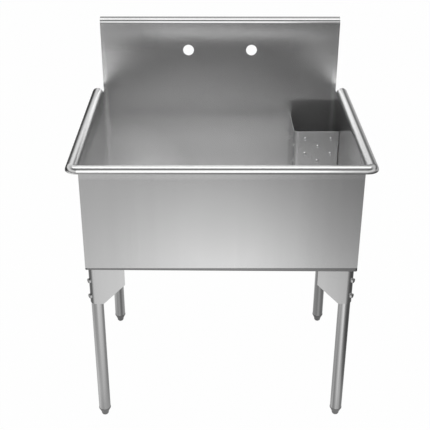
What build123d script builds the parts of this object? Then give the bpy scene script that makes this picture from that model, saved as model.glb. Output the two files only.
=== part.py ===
from build123d import *
import math
import os

# A utility laundry sink: one deep bowl of folded and welded steel sheet with a rolled rim, a tall
# splash back with two tap holes, four tube legs on screw feet, and a perforated guard that stands
# round the outlet in the rear right corner of the bowl.
# The origin is on the ground under the middle of the bowl. +X is to the right of someone standing
# in front, +Y is towards the wall behind and +Z is up. Every size is in millimetres.

# bowl
bowl_width = 762.0  # inside, left to right
bowl_depth = 632.0  # inside, front to back
sheet = 1.5  # thickness of the bowl's and the splash back's sheet
bowl_underside = 532.0  # ground to the bowl's underside, at the bowl's middle
fall_right = 6.0  # how much lower the floor of the bowl is at its right wall than at its left
fall_back = 6.0  # how much lower it is at the rear wall than at the front
floor_bend = 6.0  # outer radius between the bowl's floor and its walls
seam_rise = 14.0  # from the underside at the bowl's middle up to the weld below the walls
rim_height = 868.0  # ground to the top of the rolled rim
rim_radius = 17.5  # outer radius of the half-round roll
side_roll_stop = 28.8  # bowl's rear wall to the ends of the side rolls

# splash back
splash_height = 1090.0  # ground to the top of its roll
tap_hole_spacing = 203.2
tap_hole_radius = 17.5
tap_hole_height = 986.0

# legs
leg_radius = 17.5
leg_wall = 1.5
leg_side_inset = 21.9  # bowl's side wall to the leg's centre
leg_front_inset = 28.0  # bowl's front wall to the front legs' centres
leg_rear_inset = 89.3  # bowl's rear wall to the rear legs' centres
leg_bottom = 30.0  # ground to the end of the tube

# leg brackets, bent from sheet round the outer front corner of each leg
bracket_sheet = 2.0
bracket_reach = 84.6  # leg's centre to the tip of each wing
bracket_drop = 112.0  # underside of the bowl to the bracket's lower edge, at the leg
bracket_tip_drop = 48.0  # the same at the tips of the wings
bracket_heel = 20.6  # how far the full depth runs on past the leg's centre
leg_fit = 0.15  # between the leg and the bracket's bend

# leg bolts, two through each bracket and leg
bolt_radius = 4.0
bolt_head_flats = 13.0
bolt_head_height = 5.3
bolt_drop = 37.5  # underside of the bowl to the upper bolt
bolt_pitch = 51.0  # upper bolt to lower bolt
bolt_turn = 35.0  # how far the bolts are turned about the leg, from sideways towards the front
bolt_stub = 3.0  # thread that stands out of the nut
nut_height = 6.5
washer_radius = 8.0
washer_height = 2.2  # of the saddle washer, at its thinnest
bolt_hole_gap = 0.25

# screw feet
ring_lip = 0.7  # how far the fixed insert's collar stands out past the tube
ring_height = 3.0
insert_shoulder = 0.35  # step from the collar in to the cone
insert_cone_height = 14.0
insert_tip_lip = 0.75  # how far the cone's lower end stands out past the foot
insert_plug_height = 32.0
foot_radius = 11.0
foot_rounding = 9.5
foot_stem_radius = 5.0
foot_stem_drop = 5.0  # top of the insert to the top of the foot's stem
foot_seat_gap = 0.3  # between the foot's shoulder and the insert

# outlet
outlet_from_side = 86.0  # bowl's right wall to the outlet's centre
outlet_from_back = 55.0  # bowl's rear wall to the outlet's centre
outlet_bore_radius = 26.0
outlet_wall = 3.0
outlet_hole_gap = 1.0  # round the outlet where it passes through the floor
outlet_body_depth = 40.0
outlet_taper = 6.0
ledge_width = 8.0  # recess in the flange that holds the strainer's lip
ledge_drop = 1.5
flange_width = 8.0  # from the recess to the flange's rim
flange_land = 2.0  # level part of the flange's top, beside the recess
flange_height = 3.0
flange_edge = 1.2  # thickness of the flange at its rim
dish_depth = 5.0  # level dish that is pressed into the sloping floor round the outlet
dish_margin = 1.5
gasket_height = 3.0
friction_ring_height = 1.0
locknut_wall = 10.0
locknut_height = 10.0
locknut_lug = 4.0
locknut_lug_width = 12.0
locknut_lugs = 6
neck_bore_radius = 17.5
neck_wall = 6.5
neck_length = 18.0
tail_radius = 19.05
tail_wall = 1.25
tail_length = 120.0
tail_lip_height = 1.5
tail_washer_height = 2.5
tail_lip_gap = 1.0  # between the tailpiece's lip and the slip nut
slip_nut_wall = 5.0
slip_nut_lip = 2.5
slip_nut_gap = 0.7  # round the tailpiece where it passes through the nut
slip_nut_grip = 12.0  # length of the nut's thread on the neck

# lift-out strainer in the outlet
strainer_side_gap = 0.6
strainer_wall = 1.0
strainer_depth = 22.0
strainer_hole_radius = 2.0
strainer_hole_pitch = 8.0
strainer_side_pitch = 14.0
strainer_rings = 2
knob_radius = 5.0
knob_waist_radius = 2.5
knob_height = 16.0

# perforated guard round the outlet
guard_width = 145.7  # bowl's right wall to the guard's left face
guard_depth = 153.0  # bowl's rear wall to the guard's front face
guard_rise = 232.7  # underside of the bowl to the guard's upper edge
guard_sheet = 1.5
guard_bend = 16.0  # outer radius of its upright corner
guard_side_gap = 1.8
guard_rear_gap = 0.6
guard_hole_radius = 3.2
guard_hole_pitch = 41.0  # from one upright row of holes to the next, along the sheet
guard_hole_rise = 51.2  # from hole to hole up a row
guard_first_row = 35.0  # middle of the bend to the first row on the front face
guard_hole_top = 24.7  # upper edge to the highest hole
guard_hole_margin = 12.0  # least sheet between a hole's centre and an edge
guide_width = 12.0
guide_sheet = 1.2
guide_bend = 2.4
guide_drop = 40.0  # guard's upper edge to the top of its guides
guide_length = 120.0

# clearances
seat_gap = 0.3  # under and beside a piece that lifts out
thread_gap = 0.05

# places that follow from the sizes above
half_width = bowl_width / 2
half_depth = bowl_depth / 2
seam_height = bowl_underside + seam_rise
rim_centre = rim_height - rim_radius
leg_x = half_width - leg_side_inset
leg_rows = {"front": leg_front_inset - half_depth, "rear": half_depth - leg_rear_inset}
bracket_radius = leg_radius + leg_fit
bolt_heights = (bowl_underside - bolt_drop, bowl_underside - bolt_drop - bolt_pitch)
bolt_line = Rot(0, 0, -bolt_turn)
ring_radius = leg_radius + ring_lip
insert_bottom = leg_bottom - ring_height - insert_cone_height
foot_stem_high = leg_bottom + insert_plug_height - foot_stem_drop
outlet_x = half_width - outlet_from_side
outlet_y = half_depth - outlet_from_back
outlet_thread_radius = outlet_bore_radius + outlet_wall
ledge_radius = outlet_bore_radius + ledge_width
flange_radius = ledge_radius + flange_width
dish_radius = flange_radius + dish_margin
locknut_radius = outlet_thread_radius + locknut_wall
neck_radius = neck_bore_radius + neck_wall
tail_lip_radius = neck_radius - tail_lip_gap
strainer_radius = outlet_bore_radius - strainer_side_gap
strainer_lip_radius = ledge_radius - strainer_side_gap
guard_top = bowl_underside + guard_rise
cut_margin = 5.0  # how far a cutting shape runs past what it cuts
underside = Plane(origin=(0, 0, bowl_underside), z_dir=(fall_right / bowl_width, fall_back / bowl_depth, 1))
floor_top = underside.offset(sheet)


def height_on(plane, x, y):
    # height of a sloping plane over a point
    normal = plane.z_dir
    return plane.origin.Z - (normal.X * x + normal.Y * y) / normal.Z


outlet_seat = height_on(floor_top, outlet_x, outlet_y) - dish_depth
strainer_lip_low = outlet_seat + flange_height - ledge_drop + seat_gap
strainer_low = strainer_lip_low - strainer_depth


def above(plane, piece):
    return split(piece, bisect_by=plane, keep=Keep.TOP)


def below(plane, piece):
    return split(piece, bisect_by=plane, keep=Keep.BOTTOM)


def turned(*outline):
    # solid of revolution about the upright axis, from (radius, height) points
    return revolve(Plane.XZ * make_face(Polyline(*outline, close=True)), Axis.Z)


def ring(outer_radius, inner_radius, low, high):
    return turned((inner_radius, low), (outer_radius, low), (outer_radius, high), (inner_radius, high))


def upright_block(width, depth, low, high):
    return Pos(0, 0, (low + high) / 2) * Box(width, depth, high - low)


# --- bowl, rim and splash back ---


def wall_section(low, high):
    # the sheet from its lower edge up to the roll's centre: inner face at 0, outside at +
    return Pos(sheet / 2, (low + high) / 2) * Rectangle(sheet, high - low)


def half_round(radius):
    disc = Pos(rim_radius, 0) * Circle(radius)
    return disc & (Pos(rim_radius, radius / 2) * Rectangle(2 * radius, radius))


def roll_section(centre):
    return Pos(0, centre) * (half_round(rim_radius) - half_round(rim_radius - sheet))


def run(section, length):
    return extrude(Plane.XZ * section, amount=length / 2, both=True)


def rolled_panel(wall_length, roll_length, centre, shift=0):
    # the shift moves the roll along the wall
    wall = run(wall_section(seam_height, centre), wall_length)
    return wall + Pos(0, shift, 0) * run(roll_section(centre), roll_length)


def roll_cap(centre):
    # closes the open end of a roll; its outer face lies in the plane of the end
    return extrude(Plane.XZ * Pos(0, centre) * half_round(rim_radius - sheet), amount=sheet)


def make_front_panel():
    panel = rolled_panel(bowl_width + 2 * sheet, bowl_width, rim_centre)
    return Pos(0, -half_depth, 0) * Rot(0, 0, -90) * panel


def make_end_panel(side):
    # its roll stops short of the splash back
    panel = rolled_panel(bowl_depth, bowl_depth - side_roll_stop, rim_centre, -side_roll_stop / 2)
    panel = Pos(half_width, 0, 0) * panel
    return panel if side > 0 else mirror(panel, Plane.YZ)


def make_back_panel():
    width = bowl_width + 2 * sheet
    panel = Pos(0, half_depth, 0) * Rot(0, 0, 90) * rolled_panel(width, width, splash_height - rim_radius)
    hole = Rot(90, 0, 0) * Cylinder(tap_hole_radius, bowl_depth / 4)
    for side in (-1, 1):
        panel -= Pos(side * tap_hole_spacing / 2, half_depth, tap_hole_height) * hole
    return panel


def make_rim_corner(side):
    # a quarter turn of the roll about the bowl's upright corner
    corner = revolve(Plane.XZ * roll_section(rim_centre), Axis.Z, 90)
    return Pos(side * half_width, -half_depth, 0) * Rot(0, 0, -90 if side > 0 else 180) * corner


def make_rim_cap(side):
    cap = roll_cap(rim_centre) if side > 0 else mirror(roll_cap(rim_centre), Plane.YZ)
    return Pos(side * half_width, half_depth - side_roll_stop, 0) * cap


def make_splash_cap(side):
    cap = roll_cap(splash_height - rim_radius)
    cap = mirror(cap, Plane.XZ) if side > 0 else cap
    return Pos(side * (half_width + sheet), half_depth, 0) * Rot(0, 0, 90) * cap


def floor_block(grow, high):
    # what the bowl's inside fills up to a height, or that space grown all round: a block on a
    # sloping plane, with its lower edges rounded
    width = bowl_width + 2 * grow
    depth = bowl_depth + 2 * grow
    block = above(floor_top.offset(-grow), upright_block(width, depth, bowl_underside - 4 * seam_rise, high))
    return fillet(block.faces().sort_by(Axis.Z)[0].edges(), floor_bend - sheet + grow)


def dish_cone(grow):
    # one side of the pressed dish: a level seat and a slope of 45 degrees up out of it
    depth = 2 * dish_depth
    radius = dish_radius + grow * math.tan(math.radians(22.5))
    low = outlet_seat - grow
    cone = turned((0, low), (radius, low), (radius + depth, low + depth), (0, low + depth))
    return Pos(outlet_x, outlet_y, 0) * cone


def make_floor_pan():
    pan = floor_block(sheet, seam_height) + dish_cone(sheet)
    pan = pan - floor_block(0, seam_height + 4 * dish_depth) - dish_cone(0)
    hole = Cylinder(outlet_thread_radius + outlet_hole_gap, 4 * dish_depth)
    return pan - Pos(outlet_x, outlet_y, outlet_seat) * hole


# --- legs, brackets and feet ---


def bent_strip(inner_radius, thickness, arm_left, arm_back):
    # section of a sheet that is bent square: the bend's centre is at the origin, one arm runs
    # left along the front and the other runs back along the right
    outer_radius = inner_radius + thickness
    bend = Circle(outer_radius) - Circle(inner_radius)
    bend = bend & (Pos(outer_radius / 2, -outer_radius / 2) * Rectangle(outer_radius, outer_radius))
    middle = inner_radius + thickness / 2
    front = Pos(-arm_left / 2, -middle) * Rectangle(arm_left, thickness)
    side = Pos(middle, arm_back / 2) * Rectangle(thickness, arm_back)
    return bend + front + side


def bolt_axes(piece_radius, length, start):
    # two cylinders along X at the bolts' heights, from x = start outwards
    bore = Pos(start + length / 2, 0, 0) * Rot(0, 90, 0) * Cylinder(piece_radius, length)
    return [Pos(0, 0, height) * bore for height in bolt_heights]


def make_bracket():
    # for a front right leg whose centre is at the origin
    low = bowl_underside - bracket_drop
    high = bowl_underside + seam_rise
    plan = bent_strip(bracket_radius, bracket_sheet, bracket_reach, bracket_reach)
    bracket = Pos(0, 0, low) * extrude(plan, high - low)
    tip_low = bowl_underside - bracket_tip_drop
    tip = -bracket_reach - cut_margin
    slope = (tip_low - low) / (bracket_reach - bracket_heel)
    wedge = make_face(
        Polyline(
            (-bracket_heel, low),
            (tip, low),
            (tip, tip_low + slope * cut_margin),
            close=True,
        )
    )
    cutter = extrude(Plane.XZ * wedge, amount=2 * bracket_radius, both=True)
    bracket = bracket - cutter - Rot(0, 0, -90) * cutter
    for bore in bolt_axes(bolt_radius + bolt_hole_gap, 2 * bracket_radius, 0):
        bracket -= bolt_line * bore
    return bracket


def make_leg():
    tube = ring(leg_radius, leg_radius - leg_wall, leg_bottom, bowl_underside + seam_rise)
    for bore in bolt_axes(bolt_radius + bolt_hole_gap, 4 * leg_radius, -2 * leg_radius):
        tube -= bolt_line * bore
    return tube


def make_bolts():
    # hexagon heads, hollowed to lie on the bracket's bend; the shanks run in through the leg
    head_seat = bracket_radius + bracket_sheet
    length = head_seat + leg_radius + washer_height + nut_height + bolt_stub
    hexagon = RegularPolygon(bolt_head_flats / 2, 6, major_radius=False)
    head = extrude(hexagon, bracket_sheet + bolt_head_height)
    bend = upright_cylinder(head_seat)
    bolts = []
    for shank, height in zip(bolt_axes(bolt_radius, length, head_seat - length), bolt_heights):
        bolts.append(shank + (Pos(bracket_radius, 0, height) * Rot(0, 90, 0) * head - bend))
    return bolts


def make_washers():
    # round washers with a hollow that fits the tube
    thickness = washer_height + leg_radius / 2
    outer = leg_radius + washer_height
    blanks = bolt_axes(washer_radius, thickness, -outer)
    tube = upright_cylinder(leg_radius + thread_gap)
    return [
        blank - tube - shank
        for blank, shank in zip(blanks, bolt_axes(bolt_radius + bolt_hole_gap, 4 * outer, -2 * outer))
    ]


def upright_cylinder(radius):
    return Pos(0, 0, splash_height / 2) * Cylinder(radius, splash_height)


def make_nuts():
    nut = extrude(RegularPolygon(bolt_head_flats / 2, 6, major_radius=False), nut_height)
    nut -= Cylinder(bolt_radius + thread_gap, 4 * nut_height)
    seat = -leg_radius - washer_height
    return [Pos(seat, 0, height) * Rot(0, -90, 0) * nut for height in bolt_heights]


def make_foot_insert():
    bore = foot_stem_radius + thread_gap
    collar_low = leg_bottom - ring_height
    plug_radius = leg_radius - leg_wall - thread_gap
    plug_top = leg_bottom + insert_plug_height
    return turned(
        (bore, insert_bottom),
        (foot_radius + insert_tip_lip, insert_bottom),
        (ring_radius - insert_shoulder, collar_low),
        (ring_radius, collar_low),
        (ring_radius, leg_bottom),
        (plug_radius, leg_bottom),
        (plug_radius, plug_top),
        (bore, plug_top),
    )


def make_foot():
    shoulder = insert_bottom - foot_seat_gap
    nose = Pos(0, 0, shoulder / 2) * Cylinder(foot_radius, shoulder)
    nose = fillet(nose.edges().sort_by(Axis.Z)[0], foot_rounding)
    return nose + ring(foot_stem_radius, 0, shoulder, foot_stem_high)


# --- outlet, strainer and guard ---


def make_outlet_body():
    throat_low = outlet_seat - outlet_body_depth
    neck_high = throat_low - outlet_taper
    neck_low = neck_high - neck_length
    top = outlet_seat + flange_height
    ledge = top - ledge_drop
    return turned(
        (outlet_bore_radius, ledge),
        (ledge_radius, ledge),
        (ledge_radius, top),
        (ledge_radius + flange_land, top),
        (flange_radius, outlet_seat + flange_edge),
        (flange_radius, outlet_seat),
        (outlet_thread_radius, outlet_seat),
        (outlet_thread_radius, throat_low),
        (neck_radius, neck_high),
        (neck_radius, neck_low),
        (neck_bore_radius, neck_low),
        (neck_bore_radius, neck_high),
        (outlet_bore_radius, throat_low),
    )


def make_locknut(high):
    nut = ring(locknut_radius, outlet_thread_radius + thread_gap, high - locknut_height, high)
    lug = Box(2 * locknut_lug, locknut_lug_width, locknut_height)
    lug = Pos(locknut_radius, 0, high - locknut_height / 2) * lug
    for index in range(locknut_lugs):
        nut += Rot(0, 0, index * 360 / locknut_lugs) * lug
    return nut


def make_slip_nut(low, high):
    outer = neck_radius + slip_nut_wall
    nut = Pos(0, 0, low) * extrude(RegularPolygon(outer, 6, major_radius=False), high - low)
    bore = ring(neck_radius + thread_gap, 0, low + slip_nut_lip, high + cut_margin)
    return nut - bore - upright_cylinder(tail_radius + slip_nut_gap)


def outlet_pieces():
    # the pieces stacked under the floor, from the gasket down to the tailpiece
    under_seat = outlet_seat - sheet
    gasket_low = under_seat - gasket_height
    friction_low = gasket_low - friction_ring_height
    neck_low = outlet_seat - outlet_body_depth - outlet_taper - neck_length
    washer_low = neck_low - tail_washer_height
    lip_low = washer_low - tail_lip_height
    inner = outlet_thread_radius + thread_gap
    tail_bore = tail_radius - tail_wall
    tail = ring(tail_radius, tail_bore, lip_low - tail_length, washer_low)
    pieces = {
        "outlet_body": make_outlet_body(),
        "outlet_gasket": ring(locknut_radius, inner, gasket_low, under_seat),
        "outlet_friction_ring": ring(locknut_radius, inner, friction_low, gasket_low),
        "outlet_locknut": make_locknut(friction_low),
        "tailpiece": tail + ring(tail_lip_radius, tail_bore, lip_low, washer_low),
        "tailpiece_washer": ring(tail_lip_radius, tail_bore, washer_low, neck_low),
        "slip_nut": make_slip_nut(lip_low - slip_nut_lip, neck_low + slip_nut_grip),
    }
    return {node: Pos(outlet_x, outlet_y, 0) * piece for node, piece in pieces.items()}


def make_strainer():
    # a shallow cup with a lip, and holes in its floor and wall
    lip_high = strainer_lip_low + strainer_wall
    inner = strainer_radius - strainer_wall
    cup = turned(
        (0, strainer_low),
        (strainer_radius, strainer_low),
        (strainer_radius, strainer_lip_low),
        (strainer_lip_radius, strainer_lip_low),
        (strainer_lip_radius, lip_high),
        (inner, lip_high),
        (inner, strainer_low + strainer_wall),
        (0, strainer_low + strainer_wall),
    )
    drill = Pos(0, 0, strainer_low) * Cylinder(strainer_hole_radius, cut_margin)
    side_drill = Rot(0, 90, 0) * Cylinder(strainer_hole_radius, cut_margin)
    side_drill = Pos(strainer_radius, 0, strainer_low + strainer_depth / 2) * side_drill
    step = (inner - knob_radius) / (strainer_rings + 0.5)
    holes = []
    for index in range(strainer_rings):
        radius = knob_radius + (index + 0.75) * step
        holes += round_pattern(Pos(radius, 0, 0) * drill, radius, strainer_hole_pitch)
    holes += round_pattern(side_drill, strainer_radius, strainer_side_pitch)
    return Pos(outlet_x, outlet_y, 0) * (cup - holes)


def round_pattern(piece, radius, pitch):
    count = int(2 * math.pi * radius / pitch)
    return [Rot(0, 0, index * 360 / count) * piece for index in range(count)]


def make_strainer_knob():
    low = strainer_low + strainer_wall
    high = low + knob_height
    return Pos(outlet_x, outlet_y, 0) * turned(
        (0, low),
        (knob_waist_radius, low),
        (knob_waist_radius, high - knob_radius),
        (knob_radius, high - knob_radius / 2),
        (knob_radius, high),
        (0, high),
    )


def guard_place(along, height):
    # a point on the guard's outer face, with +Z outwards; along runs from the middle of the
    # bend, + on the front face and - on the side face
    left = half_width - guard_width
    front = half_depth - guard_depth
    centre_x = left + guard_bend
    centre_y = front + guard_bend
    half_arc = guard_bend * math.pi / 4
    if along > half_arc:
        return Pos(centre_x + along - half_arc, front, height) * Rot(90, 0, 0)
    if along < -half_arc:
        return Pos(left, centre_y - along - half_arc, height) * Rot(0, -90, 0)
    turn = 225 + math.degrees(along / guard_bend)
    return Pos(centre_x, centre_y, height) * Rot(0, 0, turn) * Pos(guard_bend, 0, 0) * Rot(0, 90, 0)


def guard_holes(run_front, run_side):
    half_arc = guard_bend * math.pi / 4
    lowest = bowl_underside + seam_rise + guard_hole_margin
    first = -math.floor((run_side + half_arc - guard_hole_margin + guard_first_row) / guard_hole_pitch)
    last = math.floor((run_front + half_arc - guard_hole_margin - guard_first_row) / guard_hole_pitch)
    drill = Cylinder(guard_hole_radius, 4 * guard_sheet)
    holes = []
    for column in range(first, last + 1):
        height = guard_top - guard_hole_top - (column % 2) * guard_hole_rise / 2
        while height > lowest:
            holes.append(guard_place(guard_first_row + column * guard_hole_pitch, height) * drill)
            height -= guard_hole_rise
    return holes


def make_guard():
    low = bowl_underside - seam_rise
    run_front = guard_width - guard_bend - guard_side_gap
    run_side = guard_depth - guard_bend - guard_rear_gap
    plan = bent_strip(guard_bend - guard_sheet, guard_sheet, run_front, run_side)
    plan = mirror(plan, Plane.YZ)
    sleeve = Pos(half_width - guard_width + guard_bend, half_depth - guard_depth + guard_bend, low)
    sleeve = sleeve * extrude(plan, guard_top - low)
    return (sleeve & floor_block(-seat_gap, guard_top)) - guard_holes(run_front, run_side)


def make_guides():
    # angle strips on the walls inside the guard, one beside each of its upright edges
    outer = guide_bend
    plan = bent_strip(outer - guide_sheet, guide_sheet, guide_width - outer, guide_width - outer)
    strip = Pos(0, 0, guard_top - guide_drop - guide_length) * extrude(plan, guide_length)
    inside = guard_sheet + seat_gap + outer
    side = Pos(half_width - outer, half_depth - guard_depth + inside, 0) * strip
    rear = Pos(half_width - guard_width + inside, half_depth - outer, 0) * Rot(0, 0, 180) * strip
    return {"guard_guide_side": side, "guard_guide_rear": rear}


# --- the whole sink ---


def build():
    pieces = {
        "front_panel": make_front_panel(),
        "back_panel": make_back_panel(),
        "floor_pan": make_floor_pan(),
        "corner_guard": make_guard(),
        "strainer": make_strainer(),
        "strainer_knob": make_strainer_knob(),
    }
    pieces.update(outlet_pieces())
    pieces.update(make_guides())
    for hand, side in (("left", -1), ("right", 1)):
        pieces[f"end_panel_{hand}"] = make_end_panel(side)
        pieces[f"rim_corner_{hand}"] = make_rim_corner(side)
        pieces[f"rim_cap_{hand}"] = make_rim_cap(side)
        pieces[f"splash_cap_{hand}"] = make_splash_cap(side)
    fasteners = {"leg_bolts": [], "leg_washers": [], "leg_nuts": []}
    for row, leg_y in leg_rows.items():
        for hand, side in (("left", -1), ("right", 1)):
            place = Pos(side * leg_x, leg_y, 0)

            def handed(piece):
                return place * (piece if side > 0 else mirror(piece, Plane.YZ))

            leg = f"{row}_{hand}"
            pieces[f"bracket_{leg}"] = below(underside, handed(make_bracket()))
            pieces[f"leg_{leg}"] = below(underside, handed(make_leg()))
            pieces[f"foot_insert_{leg}"] = handed(make_foot_insert())
            pieces[f"foot_{leg}"] = handed(make_foot())
            fasteners["leg_bolts"] += [handed(bolt_line * bolt) for bolt in make_bolts()]
            fasteners["leg_washers"] += [handed(bolt_line * washer) for washer in make_washers()]
            fasteners["leg_nuts"] += [handed(bolt_line * nut) for nut in make_nuts()]
    for node, solids in fasteners.items():
        pieces[node] = Compound(children=solids)
    return pieces


os.makedirs("parts", exist_ok=True)
for node, piece in build().items():
    export_step(piece, f"parts/{node}.step")
    print(node, len(piece.solids()), "solid, volume", round(sum(solid.volume for solid in piece.solids())))
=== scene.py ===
import bpy
import math
from mathutils import Matrix, Vector


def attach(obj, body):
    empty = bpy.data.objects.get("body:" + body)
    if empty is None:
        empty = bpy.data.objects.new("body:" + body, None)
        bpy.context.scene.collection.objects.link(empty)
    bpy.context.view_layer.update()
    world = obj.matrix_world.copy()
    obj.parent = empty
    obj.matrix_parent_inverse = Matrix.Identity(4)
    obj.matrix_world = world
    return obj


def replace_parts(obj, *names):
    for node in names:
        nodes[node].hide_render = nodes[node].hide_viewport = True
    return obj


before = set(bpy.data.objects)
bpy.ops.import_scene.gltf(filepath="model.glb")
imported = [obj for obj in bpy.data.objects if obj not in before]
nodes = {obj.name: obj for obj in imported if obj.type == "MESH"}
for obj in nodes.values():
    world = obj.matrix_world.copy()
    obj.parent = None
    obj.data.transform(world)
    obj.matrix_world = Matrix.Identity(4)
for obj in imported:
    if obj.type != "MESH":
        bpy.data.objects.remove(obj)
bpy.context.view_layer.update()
print("frame loaded:", len(nodes), "nodes")


# where the legs stand from the middle of the bowl, in millimetres
legs = {
    "aside": 359.1,
    "rows": {"front": -288.0, "rear": 226.7},
}
legPlaces = {
    f"{row}_{hand}": (side * legs["aside"], depth)
    for row, depth in legs["rows"].items()
    for hand, side in (("left", -1), ("right", 1))
}
legNames = list(legPlaces)


view = {
    "place": (-0.0298, -2.4092, 1.7943),
    "downTilt": 27.313,  # degrees below level
    "turn": 0.315,  # degrees to the right of straight on
    "roll": 0.138,
    "lens": 72.42,
    "farEnd": 60,  # nothing beyond this many metres is drawn
}


def addCamera():
    camera = bpy.data.cameras.new("camera")
    camera.lens = view["lens"]
    camera.clip_end = view["farEnd"]
    holder = bpy.data.objects.new("camera", camera)
    turn = Matrix.Rotation(math.radians(-view["turn"]), 3, "Z")
    tilt = Matrix.Rotation(math.radians(90 - view["downTilt"]), 3, "X")
    roll = Matrix.Rotation(math.radians(view["roll"]), 3, "Z")
    holder.location = view["place"]
    holder.rotation_euler = (turn @ tilt @ roll).to_euler()
    bpy.context.scene.collection.objects.link(holder)
    bpy.context.scene.camera = holder


addCamera()
print("camera in place, lens", view["lens"])


class Wire:
    # a socket's output that can be used in sums
    def __init__(self, finish, socket):
        self.finish = finish
        self.socket = socket
        self.isVector = socket.type == "VECTOR"

    def sums(self, operation, first, second):
        if not (isWide(first) or isWide(second)):
            return self.finish.node("Math", {"operation": operation}, {0: first, 1: second})
        if operation == "MULTIPLY" and not isWide(second):
            return self.finish.node("VectorMath", {"operation": "SCALE"}, {0: first, "Scale": second})
        return self.finish.node("VectorMath", {"operation": operation}, {0: first, 1: second})

    def __add__(self, other):
        return self.sums("ADD", self, other)

    def __radd__(self, other):
        return self.sums("ADD", other, self)

    def __sub__(self, other):
        return self.sums("SUBTRACT", self, other)

    def __rsub__(self, other):
        return self.sums("SUBTRACT", other, self)

    def __mul__(self, other):
        return self.sums("MULTIPLY", self, other)

    def __rmul__(self, other):
        return self.sums("MULTIPLY", self, other)

    def __pow__(self, other):
        return self.sums("POWER", self, other)


def isWide(value):
    # a vector, as a wire or as three numbers
    return value.isVector if isinstance(value, Wire) else isinstance(value, tuple)


class Finish:
    # a material, or the world, while its nodes are laid out
    def __init__(self, owner, fixed=None):
        isWorld = isinstance(owner, bpy.types.World)
        self.material = owner if isWorld else bpy.data.materials.new(owner)
        self.material.use_nodes = True
        self.tree = self.material.node_tree
        self.surface = self.tree.nodes["Background" if isWorld else "Principled BSDF"]
        self.paint(fixed or {})

    def feed(self, socket, value):
        if isinstance(value, Wire):
            self.tree.links.new(value.socket, socket)
        else:
            socket.default_value = value

    def paint(self, values):
        # values for the sockets of the shader itself
        for name, value in values.items():
            self.feed(self.surface.inputs[name], value)

    def node(self, kind, settings=None, links=None, output=0):
        made = self.tree.nodes.new("ShaderNode" + kind)
        for key, value in (settings or {}).items():
            if key == "stops":
                setStops(made.color_ramp, value)
            else:
                setattr(made, key, value)
        for key, value in (links or {}).items():
            self.feed(made.inputs[key], value)
        return Wire(self, made.outputs[output])

    def place(self):
        return self.node("TexCoord", output="Object")

    def along(self, vector, axis):
        return self.node("SeparateXYZ", {}, {"Vector": vector}, output=axis)

    def distance(self, place, middle, reach):
        # how far a place is from a middle, counting the reach in each direction as 1
        near = (place - middle) * tuple(1 / each for each in reach)
        return self.node("VectorMath", {"operation": "LENGTH"}, {0: near}, output="Value")

    def rising(self, value, start, end):
        # 0 below the start and 1 above the end
        return self.node("MapRange", {}, {"Value": value, "From Min": start, "From Max": end})

    def ramp(self, value, stops):
        return self.node("ValToRGB", {"stops": stops}, {0: value})

    def noise(self, place, scale, detail):
        return self.node("TexNoise", {}, {"Vector": place, "Scale": scale, "Detail": detail})

    def tint(self, colour, level):
        # one colour made lighter or darker by a value
        return self.node("VectorMath", {"operation": "SCALE"}, {0: colour, "Scale": level})

    def bump(self, height, strength, distance):
        return self.node("Bump", {}, {"Height": height, "Strength": strength, "Distance": distance})


def setStops(ramp, stops):
    while len(ramp.elements) < len(stops):
        ramp.elements.new(0.5)  # it gets its own position below
    for element, (position, level) in zip(ramp.elements, stops):
        element.position = position
        element.color = (level, level, level, 1)


def grey(level):
    return (level, level, level)


grainScales = {
    # how the brushed lines are stretched in each direction, in lines per metre
    "upright": (700, 700, 5),
    "wrapFront": (700, 5, 5),
    "wrapSide": (5, 700, 5),
    "across": (5, 700, 700),  # lines from left to right
    "even": (260, 260, 260),
}

bowlSheet = {"metallic": 0.9, "tone": grey(0.77), "rough": 0.21, "streaks": 0.06, "pull": 0.89}

metals = {
    # streaks is how strong the brushed lines are, and pull how far they draw reflections out;
    # the start of the rolls and of the painted reflection strip are heights, and the painted shade along
    # the pan's edges is measured from the middle, in metres
    "frontSheet": {**bowlSheet, "grain": "wrapFront", "rollFrom": 0.8505, "paintedReflectionBand": 0.818},
    "sideSheet": {**bowlSheet, "grain": "wrapSide", "rollFrom": 0.8505},
    "splashSheet": {
        **bowlSheet, "grain": "wrapFront", "rollFrom": 1.0725, "rollTone": 0.84, "rollRough": 0.09,
    },
    "panSheet": {
        **bowlSheet, "rough": 0.22, "streaks": 0.08, "grain": "across", "pull": 0.0,
        "paintedShadeEdge": {"X": 0.3775, "Y": 0.3125},
    },
    "rimPolish": {"tone": grey(0.76), "rough": 0.17, "streaks": 0.05, "grain": "even", "pull": 0.0},
    "guardSheet": {
        "metallic": 0.9, "tone": grey(0.93),
        "rough": 0.24, "streaks": 0.07, "grain": "upright", "pull": 0.7,
    },
    # the guides are painted dark, a painted shade for the shadowed gap between the guard and the wall
    "shadedGuideStrip": {"tone": grey(0.46), "rough": 0.35, "streaks": 0.07, "grain": "upright", "pull": 0.4},
    "punchedEdge": {"tone": grey(0.97), "rough": 0.18, "streaks": 0.04, "grain": "even", "pull": 0.0},
    "bracketSheet": {"tone": grey(0.84), "rough": 0.24, "streaks": 0.07, "grain": "upright", "pull": 0.6},
    "legTube": {"tone": grey(0.73), "rough": 0.20, "streaks": 0.06, "grain": "upright", "pull": 0.3},
    "footMetal": {"tone": grey(0.37), "rough": 0.20, "streaks": 0.06, "grain": "even", "pull": 0.0},
    "boltMetal": {"tone": grey(0.78), "rough": 0.24, "streaks": 0.05, "grain": "even", "pull": 0.0},
    "outletPolish": {"tone": grey(0.74), "rough": 0.16, "streaks": 0.04, "grain": "even", "pull": 0.0},
    "wastePlate": {
        "tone": (0.78, 0.78, 0.79), "rough": 0.10, "streaks": 0.03, "grain": "even", "pull": 0.0,
    },
}

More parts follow.
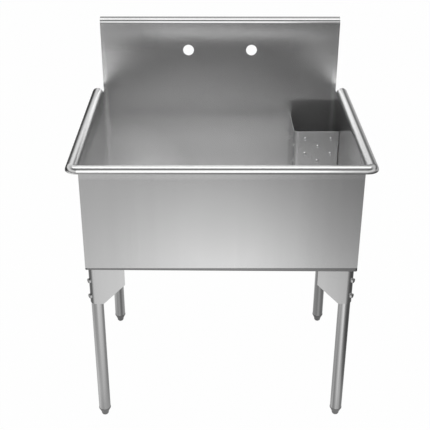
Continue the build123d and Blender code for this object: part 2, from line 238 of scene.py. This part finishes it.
paintedLightPatches = {
    # painted shade (below 0) and painted reflections (above 0): soft places where the metal's tone is
    # darkened or lightened to stand for shading and reflections round the sink; middle and reach in
    # metres, how much
    "frontSheet": [
        ((0.0, -0.316, 0.66), (0.3, 0.1, 0.3), 0.12),
        ((0.36, -0.316, 0.7), (0.16, 0.1, 0.3), -0.08),
    ],
    "sideSheet": [
        ((-0.381, 0.05, 0.84), (0.001, 0.9, 0.05), -0.35),
        ((-0.381, 0.1, 0.78), (0.001, 0.9, 0.3), -0.26),
        ((0.381, 0.26, 0.80), (0.001, 0.4, 0.3), -0.38),
        ((0.381, 0.0, 0.66), (0.001, 0.5, 0.2), -0.28),
    ],
    "splashSheet": [
        ((-0.36, 0.316, 0.60), (0.25, 0.1, 0.15), 0.36),
        ((-0.30, 0.316, 1.03), (0.14, 0.1, 0.07), -0.2),
        ((-0.06, 0.316, 0.95), (0.4, 0.1, 0.08), 0.12),
        ((0.0, 0.316, 0.78), (0.45, 0.1, 0.1), -0.12),
        ((-0.34, 0.316, 0.955), (0.13, 0.1, 0.09), 0.13),
        ((0.34, 0.316, 0.95), (0.13, 0.1, 0.1), 0.14),
        ((0.0, 0.316, 1.045), (0.25, 0.1, 0.04), 0.1),
        ((-0.376, 0.316, 0.70), (0.012, 0.1, 0.4), 0.3),
        ((0.376, 0.316, 0.70), (0.012, 0.1, 0.4), 0.3),
    ],
    "guardSheet": [((0.2353, 0.25, 0.66), (0.009, 0.2, 0.3), -0.45)],
    "bracketSheet": [
        ((-0.3725, -0.288, 0.48), (0.007, 0.2, 0.3), -0.6),
        ((-0.3641, -0.288, 0.48), (0.005, 0.2, 0.3), 0.25),
    ],
}

stripeDepth = 0.04  # how far a painted reflection stripe reaches from front to back
wholeTube = (0.2, 0.9)  # middle of a painted stripe's height, and its reach
lowEnd = (-0.05, 0.3)
legReflectionStripes = {
    # painted reflection stripes down each leg, lighter and darker, that stand for the room reflected in
    # the tube: offset across the tube and reach in millimetres, how much, and height
    "front_left": [(-13, 5, 0.5, wholeTube), (-2.5, 6, -0.22, wholeTube)],
    "front_right": [
        (-15.5, 4, 0.7, wholeTube), (-9.5, 4.5, -0.35, wholeTube), (-2, 4, 0.25, wholeTube),
        (5, 5, 0.5, wholeTube), (9, 10, -0.45, lowEnd),
    ],
    "rear_left": [
        (-11, 5, 0.15, wholeTube), (-0.5, 5, 0.4, wholeTube),
        (7, 4.5, -0.45, wholeTube), (14, 3, 0.2, wholeTube),
    ],
    "rear_right": [(-7.5, 4, -0.15, wholeTube), (-0.5, 4, 0.3, wholeTube), (10.5, 10, -0.6, wholeTube)],
}
paintedLightPatches["legTube"] = [
    (((aside + offset) / 1000, depth / 1000, middle), (reach / 1000, stripeDepth, tall), gain)
    for leg, (aside, depth) in legPlaces.items()
    for offset, reach, gain, (middle, tall) in legReflectionStripes[leg]
]

allMetals = {
    "fineTone": 1.2,  # how much of the streaks shows in the tone, for the fine and the broad lines
    "broadTone": 0.8,
    "broadScale": 0.06,
    "cloudScale": 3.0,  # uneven tone all over a sheet
    "cloudTone": 0.06,
    "cloudRough": 0.05,
    "details": {"fine": 3, "broad": 2, "cloud": 3},  # of the three kinds of noise
    "paintedPatchFade": [(0.35, 1.0), (1.0, 0.0)],
    "reflectionBandFade": 0.008,  # metres over which the painted reflection strip begins
    "reflectionBandGain": 0.14,
    # the painted shade along the pan's edges: how far it fades in, and how much darker
    "shadeEdgeFade": 0.0005,
    "shadeEdgeLoss": 0.6,
    "rollBelow": 0.002,  # metres below and above the start of a roll where its finish changes
    "rollAbove": 0.001,
    "rollTone": 1,
    "rollRough": 0.12,
    "rollGrain": 8.0,  # how much deeper the brushed lines are that wrap the rolls
    "bumpStrength": 0.05,
    "bumpDepth": 0.0002,
}


def makeMetal(name):
    facts = metals[name]
    finish = Finish(name, {"Metallic": facts.get("metallic", 1.0), "Anisotropic": facts["pull"]})
    place = finish.place()
    stretched = place * grainScales[facts["grain"]]
    details = allMetals["details"]
    # less a half, the noise runs about evenly below and above 0
    fine = finish.noise(stretched, 1.0, details["fine"]) - 0.5
    broad = finish.noise(stretched * allMetals["broadScale"], 1.0, details["broad"]) - 0.5
    cloud = finish.noise(place, allMetals["cloudScale"], details["cloud"]) - 0.5
    level = 1 + fine * (facts["streaks"] * allMetals["fineTone"])
    level = level + broad * (facts["streaks"] * allMetals["broadTone"])
    level = level + cloud * allMetals["cloudTone"]
    height = finish.along(place, "Z")
    if "paintedReflectionBand" in facts:
        # a painted reflection: a lighter strip right under the rolled rim
        start = facts["paintedReflectionBand"]
        reflectionBand = finish.rising(height, start, start + allMetals["reflectionBandFade"])
        level = level + reflectionBand * allMetals["reflectionBandGain"]
    # painted shade and painted reflections: each soft place darkens or lightens the tone round its middle
    for middle, reach, gain in paintedLightPatches.get(name, ()):
        paintedPatch = finish.ramp(finish.distance(place, middle, reach), allMetals["paintedPatchFade"])
        level = level * (1 + paintedPatch * gain)
    # painted shade: the bends along the pan's edges are darkened, standing for the shaded floor under the
    # bowl that they reflect
    for axis, start in facts.get("paintedShadeEdge", {}).items():
        reach = finish.node("Math", {"operation": "ABSOLUTE"}, {0: finish.along(place, axis)})
        edge = finish.rising(reach, start, start + allMetals["shadeEdgeFade"])
        level = level * (1 - edge * allMetals["shadeEdgeLoss"])
    rough = facts["rough"] + fine * facts["streaks"] + cloud * allMetals["cloudRough"]
    if "rollFrom" in facts:
        # the rolled rims are polished smoother than the flat sheet below them
        start = facts["rollFrom"]
        roll = finish.rising(height, start - allMetals["rollBelow"], start + allMetals["rollAbove"])
        level = level * (1 - roll * (1 - facts.get("rollTone", allMetals["rollTone"])))
        rough = rough * (1 - roll) + roll * facts.get("rollRough", allMetals["rollRough"])
        fine = fine * (1 + roll * allMetals["rollGrain"])
    relief = finish.bump(fine, allMetals["bumpStrength"], allMetals["bumpDepth"])
    colour = finish.tint(facts["tone"], level)
    finish.paint({"Base Color": colour, "Roughness": rough, "Normal": relief})
    return finish.material


finishes = {name: makeMetal(name) for name in metals}

rubber = {
    "colour": (0.03, 0.03, 0.032),
    "rough": 0.62,
    "grain": 420.0,
    "detail": 4,
    "darkest": 0.5,
    "bump": (0.2, 0.0003),
}


def makeRubber():
    finish = Finish("sealRubber", {"Roughness": rubber["rough"]})
    mottle = finish.noise(finish.place(), rubber["grain"], rubber["detail"])
    colour = finish.tint(rubber["colour"], mottle + rubber["darkest"])
    finish.paint({"Base Color": colour, "Normal": finish.bump(mottle, *rubber["bump"])})
    return finish.material


fibre = {
    "colour": (0.46, 0.31, 0.19),
    "rough": 0.8,
    "grain": (900, 900, 2500),
    "detail": 4,
    "contrast": 0.6,
    "darkest": 0.7,
    "bump": (0.3, 0.0003),
}


def makeFibre():
    finish = Finish("fibreRing", {"Roughness": fibre["rough"]})
    strands = finish.noise(finish.place() * fibre["grain"], 1.0, fibre["detail"])
    colour = finish.tint(fibre["colour"], strands * fibre["contrast"] + fibre["darkest"])
    finish.paint({"Base Color": colour, "Normal": finish.bump(strands, *fibre["bump"])})
    return finish.material


finishes["sealRubber"] = makeRubber()
finishes["fibreRing"] = makeFibre()

nodeFinishes = {
    "frontSheet": ("front_panel",),
    "sideSheet": ("end_panel_left", "end_panel_right"),
    "splashSheet": ("back_panel",),
    "panSheet": ("floor_pan",),
    "rimPolish": [
        "rim_corner_left", "rim_corner_right", "rim_cap_left", "rim_cap_right",
        "splash_cap_left", "splash_cap_right",
    ],
    "guardSheet": ("corner_guard",),
    "shadedGuideStrip": ("guard_guide_side", "guard_guide_rear"),
    "bracketSheet": [f"bracket_{leg}" for leg in legNames],
    "legTube": [f"leg_{leg}" for leg in legNames],
    "footMetal": [f"foot_{leg}" for leg in legNames] + [f"foot_insert_{leg}" for leg in legNames],
    "boltMetal": ("leg_bolts", "leg_washers", "leg_nuts"),
    "outletPolish": ("outlet_body", "strainer", "strainer_knob"),
    "wastePlate": ("outlet_locknut", "slip_nut", "tailpiece"),
    "sealRubber": ("outlet_gasket", "tailpiece_washer"),
    "fibreRing": ("outlet_friction_ring",),
}


def dressNodes():
    for finish, members in nodeFinishes.items():
        for node in members:
            mesh = nodes[node].data
            mesh.materials.clear()
            mesh.materials.append(finishes[finish])


dressNodes()
print("finishes on the frame's nodes:", sum(len(each) for each in nodeFinishes.values()))


def skin(rows, first, closed=False):
    # faces between rows of points that each run once round an axis
    count = len(rows[0])
    faces = []
    for index in range(len(rows) if closed else len(rows) - 1):
        low = first + index * count
        high = first + (index + 1) % len(rows) * count
        for step in range(count):
            following = (step + 1) % count
            faces.append((low + step, low + following, high + following, high + step))
    if not closed:
        faces.append(tuple(first + step for step in reversed(range(count))))
        faces.append(tuple(first + (len(rows) - 1) * count + step for step in range(count)))
    return faces


def ringRow(reach, height, count):
    # one row of points; reach is a number or a function of the angle,
    # and height a number or a function of the angle and radius
    row = []
    for step in range(count):
        angle = 2 * math.pi * step / count
        radius = reach(angle) if callable(reach) else reach
        level = height(angle, radius) if callable(height) else height
        row.append(Vector((radius * math.cos(angle), radius * math.sin(angle), level)))
    return row


def turnedRows(outline, count):
    # rows for an outline of radius and height, turned about the axis
    return [ringRow(radius, level, count) for radius, level in outline]


def threadRows(facts, low, high, count):
    # a right-hand screw thread that runs out into its root at both ends
    rows = []
    steps = int((high - low) / facts["pitch"] * facts["rowsPerTurn"])
    for index in range(steps + 1):
        level = low + (high - low) * index / steps
        fade = min(1, (level - low) / facts["pitch"], (high - level) / facts["pitch"])

        def reach(angle):
            along = (level / facts["pitch"] - angle / (2 * math.pi)) % 1
            return facts["radius"] - facts["depth"] * (1 - fade * (1 - abs(2 * along - 1)))

        rows.append(ringRow(reach, level, count))
    return rows


def arcRows(centre, radius, start, end, steps, count):
    # part of a circle seen from the side, turned about the axis; start and end are in degrees
    rows = []
    for index in range(steps + 1):
        angle = math.radians(start + (end - start) * index / steps)
        level = centre[1] + radius * math.sin(angle)
        rows.append(ringRow(centre[0] + radius * math.cos(angle), level, count))
    return rows


def hexReach(flats):
    # a hexagon's radius at each angle, from its width across flats
    return lambda angle: flats / 2 / math.cos(angle % (math.pi / 3) - math.pi / 6)


smoothBelow = 38  # degrees between two faces that still look like one rounded surface


def addPiece(name, lofts, finish, body):
    # lofts: (rows in millimetres, closed, place of the loft)
    points = []
    faces = []
    for rows, closed, place in lofts:
        faces += skin(rows, len(points), closed)
        points += [place @ point * 0.001 for row in rows for point in row]
    mesh = bpy.data.meshes.new(name)
    mesh.from_pydata(points, [], faces)
    mesh.shade_smooth()
    mesh.set_sharp_from_angle(angle=math.radians(smoothBelow))
    mesh.materials.append(finishes[finish])
    piece = bpy.data.objects.new(name, mesh)
    bpy.context.scene.collection.objects.link(piece)
    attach(piece, body)
    return piece


def facing(place, turn):
    # a frame at a place whose third axis is level, turned from +X, and whose first points up
    out = Vector((math.cos(turn), math.sin(turn), 0))
    up = Vector((0, 0, 1))
    return Matrix.Translation(place) @ Matrix((up, out.cross(up), out)).transposed().to_4x4()


# the measures of the bolts, feet, outlet and guard are in millimetres
bolt = {
    "turn": 35.0,  # about the leg, from sideways towards the front
    "heights": (494.5, 443.5),
    "flats": 13.0,
    "seat": 19.65,  # leg's axis to the outside of the bracket's bend
    "seatGap": 0.02,
    "headTop": 24.95,
    "flatTop": 6.1,  # radius of the head's flat end
    "dishOuter": 5.0,  # shallow dish in the head's end
    "dishInner": 4.6,
    "dishDepth": 0.3,
    "chamfer": 30,  # degrees
    "tip": -29.2,
    "tipReach": 2.9,
    "tipHeight": 0.4,  # from the tip to where the thread starts
    "threadEnd": -14.0,
    "shankLow": -13.0,
    "shank": 4.0,
    "thread": {"radius": 4.0, "depth": 0.62, "pitch": 1.25, "rowsPerTurn": 6},
    "nutLow": -26.2,
    "nutHigh": -19.7,
    "nutBore": 4.05,
    "nutMouth": 4.7,
    "nutLead": 0.6,  # depth of the cone that leads into the bore
    "count": 48,
}


def boltPlaces():
    for leg, (aside, depth) in legPlaces.items():
        turn = -bolt["turn"] if aside > 0 else 180 + bolt["turn"]
        for height in bolt["heights"]:
            yield facing((aside, depth, height), math.radians(turn))


def chamfer(end, sign):
    # height of a hexagon's corner where its end is turned to a cone
    slope = math.tan(math.radians(bolt["chamfer"]))
    return lambda angle, radius: end - sign * (radius - bolt["flatTop"]) * slope


def seatHeight(angle, radius):
    # where the head's underside meets the bracket's rounded bend
    return math.sqrt(bolt["seat"] ** 2 - (radius * math.sin(angle)) ** 2) + bolt["seatGap"]


def addBolts():
    count = bolt["count"]
    reach = hexReach(bolt["flats"])
    top = bolt["headTop"]
    end = [(bolt["flatTop"], top), (bolt["dishOuter"], top)]
    end += [(bolt["dishInner"], top - bolt["dishDepth"])]
    head = turnedRows([(reach, seatHeight), (reach, chamfer(top, 1)), *end], count)
    shank = turnedRows([(bolt["tipReach"], bolt["tip"])], count)
    shank += threadRows(bolt["thread"], bolt["tip"] + bolt["tipHeight"], bolt["threadEnd"], count)
    shank += turnedRows([(bolt["shank"], bolt["shankLow"]), (bolt["shank"], bolt["seat"])], count)
    lofts = [(rows, False, place) for place in boltPlaces() for rows in (head, shank)]
    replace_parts(addPiece("boltSet", lofts, "boltMetal", "sink"), "leg_bolts")
    low, high = bolt["nutLow"], bolt["nutHigh"]
    bore, mouth, lead = bolt["nutBore"], bolt["nutMouth"], bolt["nutLead"]
    outside = [(bolt["flatTop"], low), (reach, chamfer(low, -1))]
    outside += [(reach, chamfer(high, 1)), (bolt["flatTop"], high)]
    inside = [(mouth, high), (bore, high - lead), (bore, low + lead), (mouth, low)]
    lofts = [(turnedRows(outside + inside, count), True, place) for place in boltPlaces()]
    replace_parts(addPiece("nutSet", lofts, "boltMetal", "sink"), "leg_nuts")


foot = {
    "radius": 11.0,
    "rounding": 9.5,
    "roundSteps": 10,
    "shoulder": 12.7,
    "edge": 0.4,
    "edgeSteps": 3,
    "stemTop": 57.0,
    "threadStart": 0.2,  # above the shoulder
    "lead": 0.5,  # height and depth of the cone at the stem's end
    "thread": {"radius": 5.0, "depth": 0.8, "pitch": 1.5, "rowsPerTurn": 6},
    "count": 64,
}


def addFeet():
    count = foot["count"]
    flat = foot["radius"] - foot["rounding"]
    shoulder, edge = foot["shoulder"], foot["edge"]
    rows = arcRows((flat, foot["rounding"]), foot["rounding"], -90, 0, foot["roundSteps"], count)
    rows += arcRows((foot["radius"] - edge, shoulder - edge), edge, 0, 90, foot["edgeSteps"], count)
    root = foot["thread"]["radius"] - foot["thread"]["depth"]
    rows += [ringRow(root, shoulder, count)]
    low, high = shoulder + foot["threadStart"], foot["stemTop"] - foot["lead"]
    rows += threadRows(foot["thread"], low, high, count)
    rows += [ringRow(root - foot["lead"], foot["stemTop"], count)]
    for leg, (aside, depth) in legPlaces.items():
        place = Matrix.Translation((aside, depth, 0))
        piece = addPiece(f"screwFoot_{leg}", [(rows, False, place)], "footMetal", f"foot_{leg}")
        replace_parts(piece, f"foot_{leg}")


outlet = {
    "place": (295.0, 261.0),
    "seat": 523.7,
    "inner": [(17.5, -64.0), (17.5, -46.0), (26.0, -40.0), (26.0, 1.5), (34.0, 1.5), (34.0, 2.6)],
    "flange": [(35.0, 3.0), (36.0, 3.0), (41.5, 1.45), (42.0, 0.9), (42.0, 0.0), (28.0, 0.0)],
    "bodyThread": {"radius": 29.0, "depth": 1.0, "pitch": 2.0, "rowsPerTurn": 6},
    "bodySpan": (-39.5, -0.2),
    "neckThread": {"radius": 24.0, "depth": 1.0, "pitch": 2.0, "rowsPerTurn": 6},
    "neckSpan": (-63.5, -47.0),
    "count": 96,
}


def addOutlet():
    count = outlet["count"]
    rows = threadRows(outlet["neckThread"], *outlet["neckSpan"], count)
    rows += threadRows(outlet["bodyThread"], *outlet["bodySpan"], count)
    rows += turnedRows([*reversed(outlet["flange"]), *reversed(outlet["inner"])], count)
    place = Matrix.Translation((*outlet["place"], outlet["seat"]))
    piece = addPiece("outletBody", [(rows, True, place)], "outletPolish", "sink")
    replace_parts(piece, "outlet_body")


guard = {
    "left": 235.3,
    "front": 163.0,
    "bend": 16.0,
    "runFront": 127.9,  # flat stretches on each side of the bend
    "runSide": 136.4,
    "top": 764.7,
    "lowest": 558.0,
    "pitch": 41.0,  # from one upright row of holes to the next, along the sheet
    "rise": 51.2,
    "firstRow": 35.0,
    "holeTop": 24.7,
    "margin": 12.0,
    "lip": [(3.2, -0.4), (3.2, 0.1), (3.5, 0.95), (3.7, 1.05), (3.95, 0.95), (5.5, 0.0), (5.6, -0.08)],
    "count": 32,
}


def guardHoles():
    # each hole's place and which way it faces, and whether it is on the rounded bend
    left, front, bend = guard["left"], guard["front"], guard["bend"]
    halfArc = bend * math.pi / 4
    # the upright rows of holes stop short of the sheet's ends
    sideRoom = guard["runSide"] + halfArc - guard["margin"]
    frontRoom = guard["runFront"] + halfArc - guard["margin"]
    first = -math.floor((sideRoom + guard["firstRow"]) / guard["pitch"])
    last = math.floor((frontRoom - guard["firstRow"]) / guard["pitch"])
    for column in range(first, last + 1):
        # distance along the sheet from the middle of its bend, above 0 on the front stretch
        along = guard["firstRow"] + column * guard["pitch"]
        height = guard["top"] - guard["holeTop"] - (column % 2) * guard["rise"] / 2
        while height > guard["lowest"]:
            if along > halfArc:
                yield facing((left + bend + along - halfArc, front, height), math.radians(270)), False
            elif along < -halfArc:
                yield facing((left, front + bend - along - halfArc, height), math.radians(180)), False
            else:
                turn = math.radians(225) + along / bend
                across, deep = left + bend + bend * math.cos(turn), front + bend + bend * math.sin(turn)
                yield facing((across, deep, height), turn), True
            height -= guard["rise"]


def lipHeight(level, onBend):
    # on the bend a lip follows the rounded sheet
    if not onBend:
        return level
    bend = guard["bend"]
    return lambda angle, radius: level + math.sqrt(bend ** 2 - (radius * math.sin(angle)) ** 2) - bend


def addHoleLips():
    lofts = []
    for place, onBend in guardHoles():
        outline = [(radius, lipHeight(level, onBend)) for radius, level in guard["lip"]]
        lofts.append((turnedRows(outline, guard["count"]), True, place))
    addPiece("holeLips", lofts, "punchedEdge", "guard")
    return len(lofts)


addBolts()
addFeet()
addOutlet()
lipCount = addHoleLips()


edges = {
    # how far the cut edges of the thin sheets are broken, in metres
    "widths": {"corner_guard": 0.0006, **{f"bracket_{leg}": 0.0004 for leg in legNames}},
    "segments": 2,
    "sharperThan": 50,  # degrees
}


def roundEdges():
    for node, width in edges["widths"].items():
        bevel = nodes[node].modifiers.new("edges", "BEVEL")
        bevel.width = width
        bevel.segments = edges["segments"]
        bevel.limit_method = "ANGLE"
        bevel.angle_limit = math.radians(edges["sharperThan"])


roundEdges()
print("sheet edges rounded:", len(edges["widths"]))


paper = {
    "size": 18.0,
    "tone": 0.9,
    "rough": 0.9,
    "whiteShare": 0.985,  # how much of the floor that the camera sees is plain white
    # the rest is how bright the floor looks in the metal: a pool of light with softer shades in it
    "poolMiddle": (0.05, 0.257, 0.0),
    "poolReach": (0.268, 0.763, 1.0),
    "poolLevels": (0.112, 3.95),  # far away, and what the middle adds
    "poolSlope": 0.2,  # darker towards the right
    "poolLimits": (0.1, 0.9),
    "underReach": (0.62, 0.40, 1.0),  # the shade under the bowl
    "underShade": [(0.35, 0.5), (0.62, 1.0)],
    "cornerMiddle": (0.72, -0.42, 0.0),  # a painted shade beside the front right leg
    "cornerReach": (0.26, 0.5, 1.0),
    "cornerShade": [(0.3, 0.35), (0.7, 1.0)],
    "frontShade": [(0.25, 0.65), (0.62, 1.0)],  # by half the distance in front of the middle
    "behindStart": [(0.3, 0.0), (0.6, 1.0)],  # by half the distance behind the middle
    "behindLevels": [(0.4, 0.14), (0.6, 0.6)],  # from left to right
}


def addFloor():
    half = paper["size"] / 2
    mesh = bpy.data.meshes.new("floor")
    corners = [(-half, -half, 0), (half, -half, 0), (half, half, 0), (-half, half, 0)]
    mesh.from_pydata(corners, [], [(0, 1, 2, 3)])
    floor = bpy.data.objects.new("floor", mesh)
    bpy.context.scene.collection.objects.link(floor)
    colour = (*grey(paper["tone"]), 1)
    finish = Finish("floorPaper", {"Roughness": paper["rough"], "Base Color": colour})
    place = finish.place()
    aside = finish.along(place, "X")
    depth = finish.along(place, "Y")
    away = finish.distance(place, paper["poolMiddle"], paper["poolReach"])
    far, peak = paper["poolLevels"]
    pool = far + peak * (1 + away ** 2) ** -1 - aside * paper["poolSlope"]
    least, most = paper["poolLimits"]
    pool = finish.node("Clamp", {}, {"Value": pool, "Min": least, "Max": most})
    under = finish.distance(place, (0.0, 0.0, 0.0), paper["underReach"])
    corner = finish.distance(place, paper["cornerMiddle"], paper["cornerReach"])
    # a ramp runs from 0 to 1, so distances go into it halved
    shade = finish.ramp(under * 0.5, paper["underShade"])
    shade = shade * finish.ramp(corner * 0.5, paper["cornerShade"])
    shade = shade * finish.ramp(depth * -0.5, paper["frontShade"])
    behind = finish.ramp(depth * 0.5, paper["behindStart"])
    behindLevel = finish.ramp(aside * 0.5 + 0.5, paper["behindLevels"])
    pool = pool * (1 - behind) + behindLevel * behind
    fromCamera = finish.node("LightPath", output="Is Camera Ray")
    fromMetal = finish.node("LightPath", output="Is Glossy Ray")
    glow = finish.node("Emission", {}, {"Color": fromCamera + fromMetal * pool * shade, "Strength": 1})
    share = fromCamera * paper["whiteShare"] + fromMetal
    plain = Wire(finish, finish.surface.outputs["BSDF"])
    mixed = finish.node("MixShader", {}, {0: share, 1: plain, 2: glow})
    finish.feed(finish.tree.nodes["Material Output"].inputs["Surface"], mixed)
    mesh.materials.append(finish.material)


sky = {
    # how bright the room round the object is, by the sine of the height above the horizon;
    # ahead is the side that the sink's front faces
    "ahead": [
        (0.0, 0.25), (0.14, 0.25), (0.22, 0.75), (0.62, 0.75),
        (0.70, 0.15), (0.90, 0.15), (1.0, 0.3),
    ],
    "behindLeft": [
        (0.0, 0.02), (0.13, 0.02), (0.19, 0.1), (0.27, 0.4),
        (0.34, 0.8), (0.38, 0.95), (0.65, 0.65), (1.0, 0.3),
    ],
    "behindRight": [
        (0.0, 0.5), (0.12, 0.42), (0.19, 0.14), (0.40, 0.14),
        (0.50, 0.5), (0.65, 0.65), (1.0, 0.3),
    ],
    # where one side gives way to the other, by half of a direction's Y or X and a half more
    "toBehind": [(0.4, 0.0), (0.6, 1.0)],
    "toRight": [(0.51, 0.0), (0.60, 1.0)],
}


def addWorld():
    world = bpy.data.worlds.new("studio")
    world.use_nodes = True
    bpy.context.scene.world = world
    air = Finish(world)
    way = air.node("TexCoord", output="Generated")
    height = air.along(way, "Z")
    behind = air.ramp(air.along(way, "Y") * 0.5 + 0.5, sky["toBehind"])
    right = air.ramp(air.along(way, "X") * 0.5 + 0.5, sky["toRight"])
    rearLeft = air.ramp(height, sky["behindLeft"])
    rearRight = air.ramp(height, sky["behindRight"])
    rear = rearLeft * (1 - right) + rearRight * right
    level = air.ramp(height, sky["ahead"]) * (1 - behind) + rear * behind
    fromCamera = air.node("LightPath", output="Is Camera Ray")
    air.paint({"Color": fromCamera + (1 - fromCamera) * level, "Strength": 1})


lamps = {
    # a lamp's level is how bright it looks itself, where 1 is white
    "overhead": {
        "place": (0.0, 0.10, 2.4), "aim": (0.0, 0.10, 0.8), "size": (2.4, 0.92), "level": 1.4,
    },
    "front": {
        "place": (-0.1, -1.36, 1.52), "aim": (-0.1, -0.376, 1.70), "size": (1.05, 0.94), "level": 0.9,
    },
}


def addLamps():
    for name, facts in lamps.items():
        lamp = bpy.data.lights.new(name, "AREA")
        lamp.shape = "RECTANGLE"
        lamp.size, lamp.size_y = facts["size"]
        lamp.energy = facts["level"] * math.pi * lamp.size * lamp.size_y
        holder = bpy.data.objects.new(name, lamp)
        holder.location = facts["place"]
        away = Vector(facts["place"]) - Vector(facts["aim"])
        holder.rotation_euler = away.to_track_quat("Z", "Y").to_euler()
        bpy.context.scene.collection.objects.link(holder)


addFloor()
addWorld()
addLamps()
bpy.context.scene.view_settings.view_transform = "Standard"
print("floor, world and lamps are in place")
